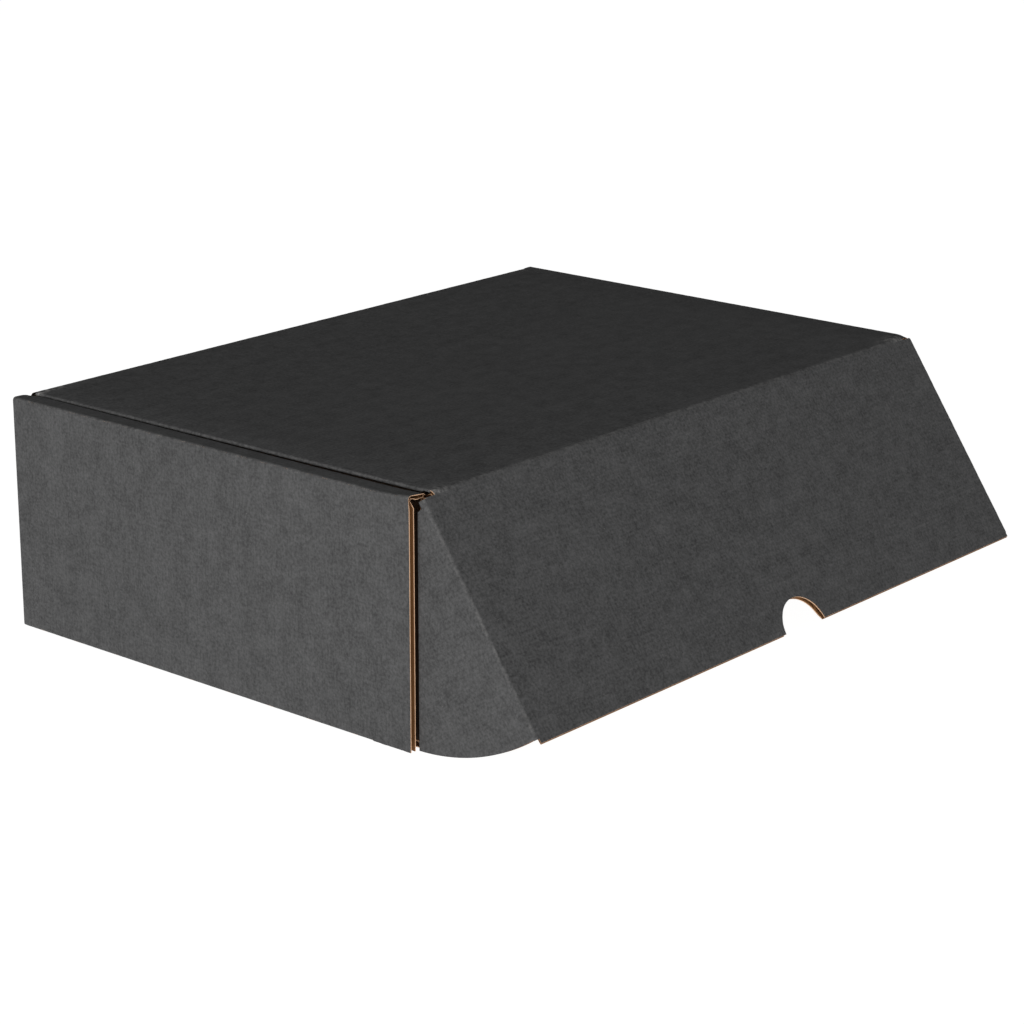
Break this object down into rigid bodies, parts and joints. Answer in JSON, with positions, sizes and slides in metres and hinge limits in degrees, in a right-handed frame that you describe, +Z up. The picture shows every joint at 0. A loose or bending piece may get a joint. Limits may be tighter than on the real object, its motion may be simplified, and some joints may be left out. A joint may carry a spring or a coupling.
{
  "type": "mailer box",
  "caption": "Folding mailer box of black corrugated board: rolled side walls, lid hinged at the back, front flap with thumb notch and side ears.",
  "frame": {"origin": "centre of the underside of the base, between the side walls' outer faces and between the open front and the back wall", "axes": "+X to the right seen from the front, +Y to the back wall, +Z up"},
  "size_m": [0.334, 0.2807, 0.1015],
  "materials": {
    "black_board": "matt black printed liner",
    "kraft_board": "bare brown kraft liner and cut edges"
  },
  "bodies": {
    "tray": {"base_panel": "black_board", "back_wall": "black_board", "back_dust_flap_left": "black_board", "back_dust_flap_right": "black_board", "left_wall_outer": "black_board", "left_wall_top": "black_board", "left_wall_inner": "black_board", "right_wall_outer": "black_board", "right_wall_top": "black_board", "right_wall_inner": "black_board"},
    "lid": {"lid_panel": "black_board"},
    "flap": {"front_flap": "black_board"},
    "ear_left": {"left_ear": "black_board"},
    "ear_right": {"right_ear": "black_board"}
  },
  "joints": [
    {"name": "lid_hinge", "type": "hinge", "parent": "tray", "child": "lid", "pos_m": [0, 0.1105, 0.1005], "axis": [-1, 0, 0], "range_deg": [0, 180]},
    {"name": "flap_fold", "type": "hinge", "parent": "lid", "child": "flap", "pos_m": [0, -0.1136, 0.1015], "axis": [-1, 0, 0], "range_deg": [-34.3, 55.7]},
    {"name": "left_ear_fold", "type": "hinge", "parent": "flap", "child": "ear_left", "pos_m": [-0.1637, -0.1136, 0.1015], "axis": [0, 0.5635, 0.8261], "range_deg": [0, 90]},
    {"name": "right_ear_fold", "type": "hinge", "parent": "flap", "child": "ear_right", "pos_m": [0.1637, -0.1136, 0.1015], "axis": [0, -0.5635, -0.8261], "range_deg": [0, 90]}
  ]
}
